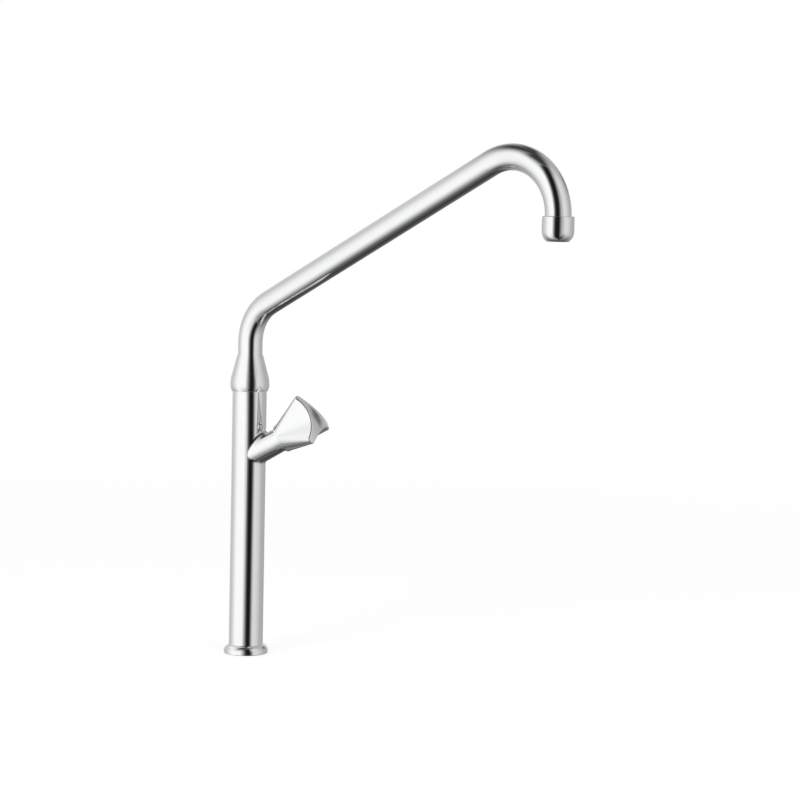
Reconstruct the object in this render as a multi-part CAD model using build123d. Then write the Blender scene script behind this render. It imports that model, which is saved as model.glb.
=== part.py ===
from build123d import *
import math
import os

# Tall pillar tap with one valve: a column on a round foot, a slanted side branch with a
# three-cornered knob, and a swivelling gooseneck spout held by a conical nut.
# Millimetres, +Z up. The origin is where the column's axis meets the deck, and the spout
# points along +X at rest. Threads are drawn as plain cylinders at their outer diameter.

# Clearances
RUNNING_GAP = 0.05       # each side of anything that turns or slides
JOINED_GAP = 0.03        # each side of screwed, pressed and brazed joints
O_RING_GAP = 0.03        # between an O-ring and the bore that it runs in
LOOSE_GAP = 0.1          # each side of loose rings, and round the tube in the nut
CUT_OVERRUN = 1.0        # how far a cutter goes past the face that it opens

# Foot and column
FOOT_DIAMETER = 36.0
FOOT_EDGE_HEIGHT = 3.4
FOOT_SHOULDER_HEIGHT = 4.1
FOOT_SHOULDER_SWELL = 0.5    # how far the shoulder rounds out past a straight bevel
FOOT_LEDGE = 0.5         # flat ring left between the shoulder's top and the column
FOOT_EDGE_ROUNDING = 0.6     # of the rim's lower edge
FOOT_RIM_WIDTH = 1.6     # metal outside the seal
FOOT_SPIGOT_HEIGHT = 14.0
SEAL_WIDTH = 3.6
SEAL_HEIGHT = 2.0
COLUMN_DIAMETER = 28.0
COLUMN_WALL = 2.0
COLUMN_SHOULDER_HEIGHT = 213.7
WATERWAY_DIAMETER = 17.0

# Tail and deck fixings
TAIL_THREAD_DIAMETER = 20.955   # G1/2
TAIL_BORE = 14.0
TAIL_BELOW_DECK = 50.0
TAIL_IN_FOOT = 15.0
TAIL_CHAMFER = 1.0
SUPPLY_THREAD_LENGTH = 15.0
RELIEF_WIDTH = 2.0
RELIEF_DEPTH = 1.2
DECK_THICKNESS = 18.0    # worktop that the fixings are drawn for
RUBBER_WASHER_DIAMETER = 34.0
RUBBER_WASHER_THICKNESS = 3.0
METAL_WASHER_DIAMETER = 35.0
METAL_WASHER_THICKNESS = 1.5
WASHER_HOLE_PLAY = 0.4
LOCK_NUT_ACROSS_FLATS = 27.0
LOCK_NUT_HEIGHT = 8.0
LOCK_NUT_CHAMFER = 1.0

# Valve branch
BRANCH_BELOW_SHOULDER = 53.8   # from the column's shoulder down to where the axes meet
BRANCH_RISE = 29.5       # degrees above the horizontal
BRANCH_TURN = 13.5       # degrees from the spout's rest direction, seen from above
BRANCH_DIAMETER = 20.0
HEADWORK_THREAD_DIAMETER = 16.662   # G3/8, also the bore of the valve chamber
BRANCH_LENGTH = 35.5     # from the column's axis to the end face
BRANCH_ROOT_INSET = 0.8  # the root spreads to this far inside each side of the column
BRANCH_FLARE_LENGTH = 30.0   # from the column's axis to where the branch is round
BRANCH_BLEND = 3.5
SEAM_TOLERANCE = 0.01    # within which an edge counts as lying on the column's side

# Water passages in the web, on the branch's axis unless a name says drill
SEAT_DISTANCE = 6.0      # from the column's axis to the sealing face
SEAT_DIAMETER = 12.0
SEAT_OPENING = 8.0
SEAT_HEIGHT = 4.0
SEAT_LIP_HEIGHT = 1.0
SEAT_LIP_WIDTH = 0.8
PASSAGE_DEPTH = 9.0      # behind the seat
INLET_DRILL_DIAMETER = 9.0
INLET_DRILL_OFFSET = 3.0
INLET_WEB = 4.5          # from the inlet chamber's top to the lowest point of the valve chamber
OUTLET_WEB = 3.0         # from the seat's pocket to the bottom of the upper waterway

# Sliding plug
LIFT = 4.0
KNOB_TURNS = 2.0
SEAT_GAP = 0.05          # the washer's rest clearance from the seat
VALVE_WASHER_DIAMETER = 10.8
VALVE_WASHER_THICKNESS = 3.0
PLUG_RIM = 0.6
PLUG_RIM_OVERLAP = 1.6   # how far the rim comes down round the washer
PLUG_DISC = 2.5
PLUG_ACROSS_FLATS = 8.4
PLUG_FLOOR = 2.0         # metal between the disc and the spindle's bore
WASHER_SCREW_DIAMETER = 3.0
WASHER_SCREW_HEAD = 5.6
WASHER_SCREW_HEAD_HEIGHT = 1.4
WASHER_SCREW_SLOT = 0.75
WASHER_SCREW_GRIP = 3.0
END_PLAY = 1.3           # free space past each end of the plug's travel

# Headwork
BONNET_WASHER_THICKNESS = 0.8
BONNET_WASHER_WIDTH = 0.8
BONNET_HEX = 17.0
BONNET_HEX_HEIGHT = 5.0
BONNET_NECK_DIAMETER = 13.0
BONNET_NECK_HEIGHT = 1.3
SPINDLE_THREAD_DIAMETER = 6.0
SPINDLE_DIAMETER = 7.0
SPINDLE_COLLAR_DIAMETER = 8.2
SPINDLE_COLLAR_HEIGHT = 2.0
SPINDLE_O_RING_SECTION = 1.2
SPINDLE_O_RING_SPACING = 3.0
CLIP_THICKNESS = 0.6
CLIP_DIAMETER = 10.0
CLIP_MOUTH = 4.0
CLIP_GROOVE_DEPTH = 0.6
DRIVE_DIAMETER = 6.8
DRIVE_FLAT_DEPTH = 0.8
DRIVE_LENGTH = 13.0

# Knob
KNOB_CORNERS = 3
KNOB_REST_TURN = 15.2    # degrees from the branch's upper side to the first corner
KNOB_RIM_GAP = 0.5       # from the branch's end face to the knob's rim
KNOB_RIM_WALL = 1.7      # outside the cavity
KNOB_RIM_HEIGHT = 1.2
KNOB_LENGTH = 36.3
KNOB_CORNER_REACH = 27.0  # from the axis to a corner in the plane of the dome's top
KNOB_SIDE_REACH = 9.8     # from the axis to the middle of a hollow side, in the same plane
KNOB_CORNER_ROUNDING = 2.4
KNOB_DOME_RADIUS = 50.0
KNOB_EDGE_ROUNDING = 1.3
KNOB_CAVITY_PLAY = 0.6   # each side of the bonnet's corners
KNOB_CAVITY_DEPTH = 10.0
KNOB_CORNER_SPREAD = 108.0   # degrees of the rim that each corner fans out to
SET_SCREW_DIAMETER = 4.0
SET_SCREW_LENGTH = 8.0
SET_SCREW_SOCKET = 2.0   # across flats
SET_SCREW_SOCKET_DEPTH = 2.0

# Spout tube
TUBE_DIAMETER = 20.0
TUBE_WALL = 1.0
SPOUT_REACH = 302.6
SPOUT_RISE = 27.2        # degrees above the horizontal
SPOUT_CORNER_RISE = 62.3   # from the column's shoulder up to where the axes of the two runs meet
ELBOW_RADIUS = 36.7
GOOSENECK_RADIUS = 42.8
TUBE_END_LENGTH = 8.0    # straight stretch below the gooseneck

# Swivel joint of the spout
NIPPLE_THREAD_DIAMETER = 26.441   # G3/4
NIPPLE_HEIGHT = 12.7
SPIGOT_STEP = 0.5        # its side stands this far inside the tube's
SPIGOT_WALL = 2.5
SPIGOT_LENGTH = 22.0
SPIGOT_END_PLAY = 2.0
SPIGOT_O_RING_SECTION = 1.56
SPIGOT_O_RING_HEIGHTS = (4.0, 10.0)   # above the spigot's lower end
COLLAR_WALL = 2.0        # outside the tube
COLLAR_HEIGHT = 3.5
COLLAR_SOCKET_DEPTH = 2.5
SLIP_WASHER_THICKNESS = 1.0
SLIP_WASHER_INSET = 0.5  # from the nipple's edge
SLIP_RING_THICKNESS = 1.5
GROOVE_PLAY = 0.2        # a groove is this much wider than its ring

# Spout nut
NUT_SEAT_GAP = 0.4       # above the column's shoulder
NUT_WALL = 2.78          # outside the thread, at the widest
NUT_HEIGHT = 28.9
NUT_WIDEST_HEIGHT = 5.2
NUT_FOOT_NARROWING = 1.2     # each side, from the widest down to the foot
NUT_CONE_START = 9.0     # height at which the cone would start if its shoulder weren't rounded
NUT_TOP_WALL = 0.5

# Outlet
FERRULE_WALL = 1.0       # an M22 thread on a 20 mm tube
FERRULE_LIP = 2.0
HOUSING_WALL = 1.15      # outside the ferrule's thread
HOUSING_HEIGHT = 18.6
HOUSING_EDGE_ROUNDING = 0.9  # of its upper edge
HOUSING_ROUNDING_HEIGHT = 7.6
HOUSING_NARROWING = 4.1  # each side, from the sleeve to the mouth
HOUSING_LIP_HEIGHT = 3.0
HOUSING_LIP_WALL = 0.8
INSERT_INSET = 0.7       # each side, inside the ferrule's thread
INSERT_RECESS = 0.5      # the insert's mouth stands this far inside the housing
INSERT_WALL = 1.2
AERATOR_SEAL_THICKNESS = 1.6
AERATOR_SEAL_WIDTH = 2.8
STRAINER_PLAY = 0.7      # each side, inside the seal
STRAINER_HEIGHT = 1.8
STRAINER_WALL = 0.5
GRID_THICKNESS = 1.2
GRID_SETBACK = 0.6
GRID_PITCH = 2.0
GRID_HOLE_DIAMETER = 1.3
GRID_RINGS = 2


# Heights on the column's axis that several pieces share
BRANCH_HEIGHT = COLUMN_SHOULDER_HEIGHT - BRANCH_BELOW_SHOULDER
SPOUT_CORNER_HEIGHT = COLUMN_SHOULDER_HEIGHT + SPOUT_CORNER_RISE
FOOT_HEIGHT = FOOT_EDGE_HEIGHT + FOOT_SHOULDER_HEIGHT
NIPPLE_TOP = COLUMN_SHOULDER_HEIGHT + NIPPLE_HEIGHT
COLLAR_BOTTOM = NIPPLE_TOP + SLIP_WASHER_THICKNESS + RUNNING_GAP
COLLAR_TOP = COLLAR_BOTTOM + COLLAR_HEIGHT
SLIP_RING_BOTTOM = COLLAR_TOP + RUNNING_GAP
SLIP_RING_TOP = SLIP_RING_BOTTOM + SLIP_RING_THICKNESS
SPIGOT_BOTTOM = COLLAR_BOTTOM - SPIGOT_LENGTH
TUBE_BOTTOM = COLLAR_TOP - COLLAR_SOCKET_DEPTH
NUT_BOTTOM = COLUMN_SHOULDER_HEIGHT + NUT_SEAT_GAP
NUT_TOP = NUT_BOTTOM + NUT_HEIGHT

# Diameters that follow the tube's
SPIGOT_DIAMETER = TUBE_DIAMETER - 2 * SPIGOT_STEP
COLLAR_DIAMETER = TUBE_DIAMETER + 2 * COLLAR_WALL
FERRULE_DIAMETER = TUBE_DIAMETER + 2 * FERRULE_WALL
HOUSING_DIAMETER = FERRULE_DIAMETER + 2 * HOUSING_WALL
HOUSING_MOUTH_DIAMETER = HOUSING_DIAMETER - 2 * HOUSING_NARROWING
INSERT_DIAMETER = FERRULE_DIAMETER - 2 * INSERT_INSET
AERATOR_SEAL_OPENING = INSERT_DIAMETER - 2 * AERATOR_SEAL_WIDTH

# Diameters that follow the column's, a thread's or a hexagon's
BRANCH_ROOT_WIDTH = COLUMN_DIAMETER - 2 * BRANCH_ROOT_INSET
NUT_DIAMETER = NIPPLE_THREAD_DIAMETER + 2 * NUT_WALL
KNOB_CAVITY_DIAMETER = 2 * BONNET_HEX / math.sqrt(3) + 2 * KNOB_CAVITY_PLAY
KNOB_RIM_DIAMETER = KNOB_CAVITY_DIAMETER + 2 * KNOB_RIM_WALL

# Heights at the outlet
GOOSENECK_CORNER = SPOUT_CORNER_HEIGHT + SPOUT_REACH * math.tan(math.radians(SPOUT_RISE))
GOOSENECK_TURN = 90.0 + SPOUT_RISE
GOOSENECK_END = GOOSENECK_CORNER - GOOSENECK_RADIUS * math.tan(math.radians(GOOSENECK_TURN / 2))
TUBE_END = GOOSENECK_END - TUBE_END_LENGTH
FERRULE_BOTTOM = TUBE_END - FERRULE_LIP
HOUSING_TOP = GOOSENECK_END
OUTLET_HEIGHT = HOUSING_TOP - HOUSING_HEIGHT
SEAL_TOP = FERRULE_BOTTOM
INSERT_TOP = SEAL_TOP - AERATOR_SEAL_THICKNESS
INSERT_SEAT = OUTLET_HEIGHT + HOUSING_LIP_HEIGHT
INSERT_BOTTOM = OUTLET_HEIGHT + INSERT_RECESS

# Distances along the branch's axis, from the column's axis
SEAT_POCKET_FLOOR = SEAT_DISTANCE - SEAT_HEIGHT
CHAMBER_FLOOR = SEAT_DISTANCE - SEAT_LIP_HEIGHT
WASHER_FACE = SEAT_DISTANCE + SEAT_GAP
DISC_BOTTOM = WASHER_FACE + VALVE_WASHER_THICKNESS
DISC_TOP = DISC_BOTTOM + PLUG_DISC
BONNET_BOTTOM = DISC_TOP + LIFT + END_PLAY
GLAND_SHOULDER = BRANCH_LENGTH
SPINDLE_COLLAR_TOP = GLAND_SHOULDER - RUNNING_GAP
SPINDLE_COLLAR_BOTTOM = SPINDLE_COLLAR_TOP - SPINDLE_COLLAR_HEIGHT
PLUG_TOP = SPINDLE_COLLAR_BOTTOM - LIFT - END_PLAY
PLUG_BORE_FLOOR = DISC_TOP + PLUG_FLOOR
SPINDLE_BOTTOM = PLUG_BORE_FLOOR + LIFT + END_PLAY / 2
HEX_BOTTOM = BRANCH_LENGTH + BONNET_WASHER_THICKNESS
HEX_TOP = HEX_BOTTOM + BONNET_HEX_HEIGHT
NECK_TOP = HEX_TOP + BONNET_NECK_HEIGHT
CLIP_BOTTOM = NECK_TOP + RUNNING_GAP
DRIVE_BOTTOM = CLIP_BOTTOM + CLIP_THICKNESS + 2 * GROOVE_PLAY
DRIVE_TOP = DRIVE_BOTTOM + DRIVE_LENGTH
KNOB_RIM = BRANCH_LENGTH + KNOB_RIM_GAP
KNOB_APEX = KNOB_RIM + KNOB_LENGTH
KNOB_CAVITY_TOP = KNOB_RIM + KNOB_CAVITY_DEPTH
SET_SCREW_DISTANCE = (KNOB_CAVITY_TOP + DRIVE_TOP) / 2


def branch_plane():
    """The branch's frame: Z out along its axis, X on its upper side."""
    rise = math.radians(BRANCH_RISE)
    turn = math.radians(BRANCH_TURN)
    outward = Vector(math.cos(rise) * math.cos(turn), math.cos(rise) * math.sin(turn), math.sin(rise))
    upper = Vector(-math.sin(rise) * math.cos(turn), -math.sin(rise) * math.sin(turn), math.cos(rise))
    return Plane(origin=(0, 0, BRANCH_HEIGHT), x_dir=upper, z_dir=outward)


BRANCH = branch_plane()


def on_branch(solid, turn=0.0):
    """Places a solid drawn about Z on the branch's axis, turned about it by some degrees."""
    return BRANCH.location * Rot(0, 0, turn) * solid


def turned(*outline):
    """A solid turned about Z from its outline of (radius, height) corners."""
    return turned_edges(straight(*outline, outline[0]))


def turned_edges(*edges):
    """A solid turned about Z from the edges of its outline."""
    return revolve(make_face(Curve() + list(edges)), Axis.Z)


def profile(radius, height):
    return Vector(radius, 0, height)


def straight(*corners):
    """Straight edges of an outline, through its (radius, height) corners."""
    return Polyline(*[profile(*corner) for corner in corners])


def swollen(start, end, swell):
    """An arc of an outline that passes so far to the right of the straight way to its end."""
    start, end = profile(*start), profile(*end)
    rightward = Vector(0, 1, 0).cross(end - start).normalized()
    return ThreePointArc(start, (start + end) / 2 + rightward * swell, end)


def from_upright(start, end):
    """An arc of an outline that leaves its start straight up or down, whichever way its end lies."""
    tangent = (0, 0, math.copysign(1, end[1] - start[1]))
    return TangentArc(profile(*start), profile(*end), tangent=tangent)


def rod(diameter, bottom, top):
    return turned((0, bottom), (diameter / 2, bottom), (diameter / 2, top), (0, top))


def ring(outside, inside, bottom, top):
    return turned((inside / 2, bottom), (outside / 2, bottom), (outside / 2, top), (inside / 2, top))


def hexagon(across_flats, bottom, top):
    face = RegularPolygon(across_flats / 2, 6, major_radius=False)
    return Pos(0, 0, bottom) * extrude(face, top - bottom)


def o_ring(outside, section, height):
    """A round-section ring, given by its outside diameter and the height of its middle."""
    return Pos(0, 0, height) * Torus((outside - section) / 2, section / 2)


def ring_groove(outside, section, height):
    """The cutter for the groove that such a ring lies in."""
    floor = outside - 2 * section - 2 * O_RING_GAP
    width = section + GROOVE_PLAY
    return ring(outside + 2 * CUT_OVERRUN, floor, height - width / 2, height + width / 2)


# Foot, tail and deck fixings

def base_flange():
    """Foot with a recess for its seal below and a spigot for the column above."""
    column = COLUMN_DIAMETER / 2
    foot = FOOT_DIAMETER / 2
    spigot = column - COLUMN_WALL - JOINED_GAP
    rim_bottom = (foot, FOOT_EDGE_ROUNDING)
    rim_top = (foot, FOOT_EDGE_HEIGHT)
    sole_edge = (foot - FOOT_EDGE_ROUNDING, 0)
    ledge = (column + FOOT_LEDGE, FOOT_HEIGHT)
    body = turned_edges(
        from_upright(rim_bottom, sole_edge),
        straight(rim_bottom, rim_top),
        swollen(rim_top, ledge, FOOT_SHOULDER_SWELL),
        straight(
            ledge,
            (spigot, FOOT_HEIGHT),
            (spigot, FOOT_HEIGHT + FOOT_SPIGOT_HEIGHT),
            (0, FOOT_HEIGHT + FOOT_SPIGOT_HEIGHT),
            (0, 0),
            sole_edge,
        ),
    )
    thread = rod(TAIL_THREAD_DIAMETER + 2 * JOINED_GAP, 0, TAIL_IN_FOOT + JOINED_GAP)
    waterway = rod(TAIL_BORE, 0, FOOT_HEIGHT + FOOT_SPIGOT_HEIGHT)
    outside, inside = seal_diameters()
    recess = ring(outside + 2 * JOINED_GAP, inside - 2 * JOINED_GAP, 0, SEAL_HEIGHT)
    return body - thread - waterway - recess


def seal_diameters():
    outside = FOOT_DIAMETER - 2 * FOOT_RIM_WIDTH - 2 * JOINED_GAP
    return outside, outside - 2 * SEAL_WIDTH


def base_seal():
    outside, inside = seal_diameters()
    return ring(outside, inside, 0, SEAL_HEIGHT)


def threaded_shank():
    """Hollow tail, with a relief groove between the deck thread and the supply thread."""
    thread = TAIL_THREAD_DIAMETER / 2
    relief = thread - RELIEF_DEPTH
    supply_top = SUPPLY_THREAD_LENGTH - TAIL_BELOW_DECK
    return turned(
        (TAIL_BORE / 2, -TAIL_BELOW_DECK),
        (thread - TAIL_CHAMFER, -TAIL_BELOW_DECK),
        (thread, TAIL_CHAMFER - TAIL_BELOW_DECK),
        (thread, supply_top),
        (relief, supply_top),
        (relief, supply_top + RELIEF_WIDTH),
        (thread, supply_top + RELIEF_WIDTH),
        (thread, TAIL_IN_FOOT - TAIL_CHAMFER),
        (thread - TAIL_CHAMFER, TAIL_IN_FOOT),
        (TAIL_BORE / 2, TAIL_IN_FOOT),
    )


def deck_rubber_washer():
    hole = TAIL_THREAD_DIAMETER + 2 * WASHER_HOLE_PLAY
    return ring(RUBBER_WASHER_DIAMETER, hole, -DECK_THICKNESS - RUBBER_WASHER_THICKNESS, -DECK_THICKNESS)


def deck_metal_washer():
    top = -DECK_THICKNESS - RUBBER_WASHER_THICKNESS
    hole = TAIL_THREAD_DIAMETER + 2 * WASHER_HOLE_PLAY
    return ring(METAL_WASHER_DIAMETER, hole, top - METAL_WASHER_THICKNESS, top)


def lock_nut():
    """Hexagonal nut with its corners taken off above and below."""
    top = -DECK_THICKNESS - RUBBER_WASHER_THICKNESS - METAL_WASHER_THICKNESS
    bottom = top - LOCK_NUT_HEIGHT
    flat = LOCK_NUT_ACROSS_FLATS / 2
    corner = LOCK_NUT_ACROSS_FLATS / math.sqrt(3)
    corner_cut = turned(
        (0, bottom),
        (flat, bottom),
        (corner, bottom + LOCK_NUT_CHAMFER),
        (corner, top - LOCK_NUT_CHAMFER),
        (flat, top),
        (0, top),
    )
    hole = rod(TAIL_THREAD_DIAMETER + 2 * JOINED_GAP, bottom, top)
    return (hexagon(LOCK_NUT_ACROSS_FLATS, bottom, top) & corner_cut) - hole


# Column with its valve branch

def branch_point(distance, upward):
    """Radius and height of a point in the branch's upright plane."""
    rise = math.radians(BRANCH_RISE)
    radius = distance * math.cos(rise) - upward * math.sin(rise)
    height = BRANCH_HEIGHT + distance * math.sin(rise) + upward * math.cos(rise)
    return radius, height


def branch_flare():
    """Root of the branch, an ellipse across the column that narrows to the branch's circle."""
    root = Ellipse(BRANCH_DIAMETER / 2, BRANCH_ROOT_WIDTH / 2)
    end = Pos(0, 0, BRANCH_FLARE_LENGTH) * Circle(BRANCH_DIAMETER / 2)
    return loft([root, end])


def is_branch_seam(edge):
    """Whether an edge lies on the column's side and is neither straight nor an end circle."""
    points = [edge @ part for part in (0, 0.5, 1)]
    misses = [abs(math.hypot(point.X, point.Y) - COLUMN_DIAMETER / 2) for point in points]
    return max(misses) < SEAM_TOLERANCE and edge.geom_type not in (GeomType.CIRCLE, GeomType.LINE)


def column_outside():
    """Column and branch, blended where they meet."""
    column = rod(COLUMN_DIAMETER, FOOT_HEIGHT, COLUMN_SHOULDER_HEIGHT)
    branch = on_branch(branch_flare() + rod(BRANCH_DIAMETER, BRANCH_FLARE_LENGTH, BRANCH_LENGTH))
    body = column + branch
    return fillet(body.edges().filter_by(is_branch_seam), BRANCH_BLEND)


def column_passages():
    """Everything that is hollow inside the column and the branch."""
    _, chamber_low = branch_point(CHAMBER_FLOOR, -HEADWORK_THREAD_DIAMETER / 2)
    _, pocket_high = branch_point(SEAT_POCKET_FLOOR, SEAT_DIAMETER / 2)
    inlet_top = chamber_low - INLET_WEB
    waterway_bottom = pocket_high + OUTLET_WEB
    socket = SPIGOT_DIAMETER + 2 * RUNNING_GAP
    inlet = rod(COLUMN_DIAMETER - 2 * COLUMN_WALL, FOOT_HEIGHT, inlet_top)
    drill = Rot(0, 0, BRANCH_TURN) * Pos(-INLET_DRILL_OFFSET, 0, 0) * rod(
        INLET_DRILL_DIAMETER, inlet_top - CUT_OVERRUN, BRANCH_HEIGHT
    )
    passage = on_branch(rod(SEAT_OPENING, -PASSAGE_DEPTH, SEAT_DISTANCE))
    pocket = on_branch(rod(SEAT_DIAMETER + 2 * JOINED_GAP, SEAT_POCKET_FLOOR, SEAT_DISTANCE))
    chamber = on_branch(rod(HEADWORK_THREAD_DIAMETER, CHAMBER_FLOOR, BRANCH_LENGTH))
    waterway = rod(WATERWAY_DIAMETER, waterway_bottom, NIPPLE_TOP)
    spigot_bore = rod(socket, SPIGOT_BOTTOM - SPIGOT_END_PLAY, NIPPLE_TOP)
    return [inlet, drill, passage, pocket, chamber, waterway, spigot_bore]


def column_body():
    nipple = rod(NIPPLE_THREAD_DIAMETER, COLUMN_SHOULDER_HEIGHT, NIPPLE_TOP)
    body = column_outside() + nipple
    for passage in column_passages():
        body -= passage
    return body


def valve_seat():
    """Seat ring with a raised lip, pressed into its pocket in the web."""
    opening = SEAT_OPENING / 2
    return on_branch(
        turned(
            (opening, SEAT_POCKET_FLOOR),
            (SEAT_DIAMETER / 2, SEAT_POCKET_FLOOR),
            (SEAT_DIAMETER / 2, CHAMBER_FLOOR),
            (opening + 2 * SEAT_LIP_WIDTH, CHAMBER_FLOOR),
            (opening + SEAT_LIP_WIDTH, SEAT_DISTANCE),
            (opening, SEAT_DISTANCE),
        )
    )


# Sliding plug

def valve_plug():
    """Cup for the washer with a hexagonal stem, bored for the spindle's thread."""
    cup = rod(VALVE_WASHER_DIAMETER + 2 * PLUG_RIM, DISC_BOTTOM - PLUG_RIM_OVERLAP, DISC_TOP)
    recess = rod(VALVE_WASHER_DIAMETER + 2 * JOINED_GAP, DISC_BOTTOM - PLUG_RIM_OVERLAP, DISC_BOTTOM)
    stem = hexagon(PLUG_ACROSS_FLATS, DISC_TOP, PLUG_TOP)
    bore = rod(SPINDLE_THREAD_DIAMETER + 2 * RUNNING_GAP, PLUG_BORE_FLOOR, PLUG_TOP)
    tapped = rod(
        WASHER_SCREW_DIAMETER + 2 * JOINED_GAP, DISC_BOTTOM, DISC_BOTTOM + WASHER_SCREW_GRIP + JOINED_GAP
    )
    return on_branch(cup - recess + stem - bore - tapped)


def valve_washer():
    hole = WASHER_SCREW_DIAMETER + 2 * JOINED_GAP
    return on_branch(ring(VALVE_WASHER_DIAMETER, hole, WASHER_FACE, DISC_BOTTOM))


def washer_screw():
    head = rod(WASHER_SCREW_HEAD, WASHER_FACE - WASHER_SCREW_HEAD_HEIGHT, WASHER_FACE)
    slot = Pos(0, 0, WASHER_FACE - WASHER_SCREW_HEAD_HEIGHT) * Box(
        WASHER_SCREW_HEAD, WASHER_SCREW_SLOT, WASHER_SCREW_HEAD_HEIGHT
    )
    stem = rod(WASHER_SCREW_DIAMETER, WASHER_FACE, DISC_BOTTOM + WASHER_SCREW_GRIP)
    return on_branch(head - slot + stem)


# Headwork

def bonnet_washer():
    outside = HEADWORK_THREAD_DIAMETER + 2 * BONNET_WASHER_WIDTH
    return on_branch(ring(outside, HEADWORK_THREAD_DIAMETER, BRANCH_LENGTH, HEX_BOTTOM))


def bonnet():
    """Screwed barrel with a hexagonal bore that keeps the plug from turning."""
    barrel = rod(HEADWORK_THREAD_DIAMETER - 2 * JOINED_GAP, BONNET_BOTTOM, HEX_BOTTOM)
    head = hexagon(BONNET_HEX, HEX_BOTTOM, HEX_TOP)
    neck = rod(BONNET_NECK_DIAMETER, HEX_TOP, NECK_TOP)
    collar_room = rod(
        SPINDLE_COLLAR_DIAMETER + 2 * RUNNING_GAP, SPINDLE_COLLAR_BOTTOM - RUNNING_GAP, GLAND_SHOULDER
    )
    guide = hexagon(
        PLUG_ACROSS_FLATS + 2 * RUNNING_GAP, BONNET_BOTTOM, SPINDLE_COLLAR_BOTTOM - RUNNING_GAP
    )
    gland = rod(SPINDLE_DIAMETER + 2 * RUNNING_GAP, GLAND_SHOULDER, NECK_TOP)
    return on_branch(barrel + head + neck - collar_room - guide - gland)


def spindle_o_ring_distances():
    middle = (GLAND_SHOULDER + NECK_TOP) / 2
    return middle - SPINDLE_O_RING_SPACING / 2, middle + SPINDLE_O_RING_SPACING / 2


def spindle_ring_outside():
    return SPINDLE_DIAMETER + 2 * (RUNNING_GAP - O_RING_GAP)


def spindle():
    """Non-rising spindle: thread, thrust collar, journal, and a flatted drive for the knob."""
    thread = rod(SPINDLE_THREAD_DIAMETER, SPINDLE_BOTTOM, SPINDLE_COLLAR_BOTTOM)
    collar = rod(SPINDLE_COLLAR_DIAMETER, SPINDLE_COLLAR_BOTTOM, SPINDLE_COLLAR_TOP)
    journal = rod(SPINDLE_DIAMETER, SPINDLE_COLLAR_TOP, DRIVE_BOTTOM)
    body = thread + collar + journal + drive(DRIVE_DIAMETER, DRIVE_BOTTOM, DRIVE_TOP)
    for distance in spindle_o_ring_distances():
        body -= ring_groove(spindle_ring_outside(), SPINDLE_O_RING_SECTION, distance)
    clip_seat = ring(
        SPINDLE_DIAMETER + 2 * CUT_OVERRUN,
        SPINDLE_DIAMETER - 2 * CLIP_GROOVE_DEPTH,
        CLIP_BOTTOM,
        CLIP_BOTTOM + CLIP_THICKNESS + GROOVE_PLAY,
    )
    return on_branch(body - clip_seat, KNOB_REST_TURN)


def drive(diameter, bottom, top):
    """Round bar with one flat, on the side that the knob's set screw bears on."""
    bar = rod(diameter, bottom, top)
    flat = diameter / 2 - DRIVE_FLAT_DEPTH
    waste = Pos(-flat - diameter / 2, 0, (bottom + top) / 2) * Box(diameter, 2 * diameter, top - bottom)
    return bar - waste


def spindle_o_ring(distance):
    return on_branch(o_ring(spindle_ring_outside(), SPINDLE_O_RING_SECTION, distance))


def spindle_clip():
    """Open spring ring in the spindle's groove above the bonnet."""
    inside = SPINDLE_DIAMETER - 2 * CLIP_GROOVE_DEPTH + 2 * JOINED_GAP
    band = ring(CLIP_DIAMETER, inside, CLIP_BOTTOM + JOINED_GAP, CLIP_BOTTOM + CLIP_THICKNESS)
    height = 2 * (CLIP_THICKNESS + CUT_OVERRUN)
    mouth = Pos(CLIP_DIAMETER / 2, 0, CLIP_BOTTOM) * Box(CLIP_DIAMETER, CLIP_MOUTH, height)
    return on_branch(band - mouth, KNOB_REST_TURN)


# Knob

def polar(radius, degrees, height):
    angle = math.radians(degrees)
    return Vector(radius * math.cos(angle), radius * math.sin(angle), height)


def arc_wire(runs):
    """A closed wire of arcs, each through its start, middle and end."""
    return Wire([ThreePointArc(*run).edge() for run in runs])


def knob_round_section(height):
    """The rim's circle in arcs, a long one under each corner and a short one under each side."""
    radius = KNOB_RIM_DIAMETER / 2
    sector = 360 / KNOB_CORNERS
    half_fan = KNOB_CORNER_SPREAD / 2
    runs = []
    for index in range(KNOB_CORNERS):
        start = sector * index
        fan = (start - half_fan, start, start + half_fan)
        side = (start + half_fan, start + sector / 2, start + sector - half_fan)
        runs += [[polar(radius, turn, height) for turn in turns] for turns in (fan, side)]
    return arc_wire(runs)


def knob_corner_section(height):
    """Rounded corners, the first on +X, with a hollow side between each two."""
    half_sector = 180 / KNOB_CORNERS
    tips = []
    for index in range(KNOB_CORNERS):
        middle = 2 * half_sector * index
        hub = polar(KNOB_CORNER_REACH - KNOB_CORNER_ROUNDING, middle, height)
        turns = (middle - half_sector, middle, middle + half_sector)
        tips.append([hub + polar(KNOB_CORNER_ROUNDING, turn, 0) for turn in turns])
    runs = []
    for index, tip in enumerate(tips):
        next_tip = tips[(index + 1) % KNOB_CORNERS]
        hollow = polar(KNOB_SIDE_REACH, half_sector * (2 * index + 1), height)
        runs += [tip, [tip[-1], hollow, next_tip[0]]]
    return arc_wire(runs)


def knob_outside():
    """Round rim that grows into three corners, under a domed end."""
    rim_top = KNOB_RIM + KNOB_RIM_HEIGHT
    rim = rod(KNOB_RIM_DIAMETER, KNOB_RIM, rim_top)
    flare = Solid.make_loft([knob_round_section(rim_top), knob_corner_section(KNOB_APEX)], ruled=True)
    dome = Pos(0, 0, KNOB_APEX - KNOB_DOME_RADIUS) * Sphere(KNOB_DOME_RADIUS)
    body = (flare & dome) + rim
    crown = body.faces().sort_by(Axis.Z)[-1]
    return fillet(crown.edges(), KNOB_EDGE_ROUNDING)


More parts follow.
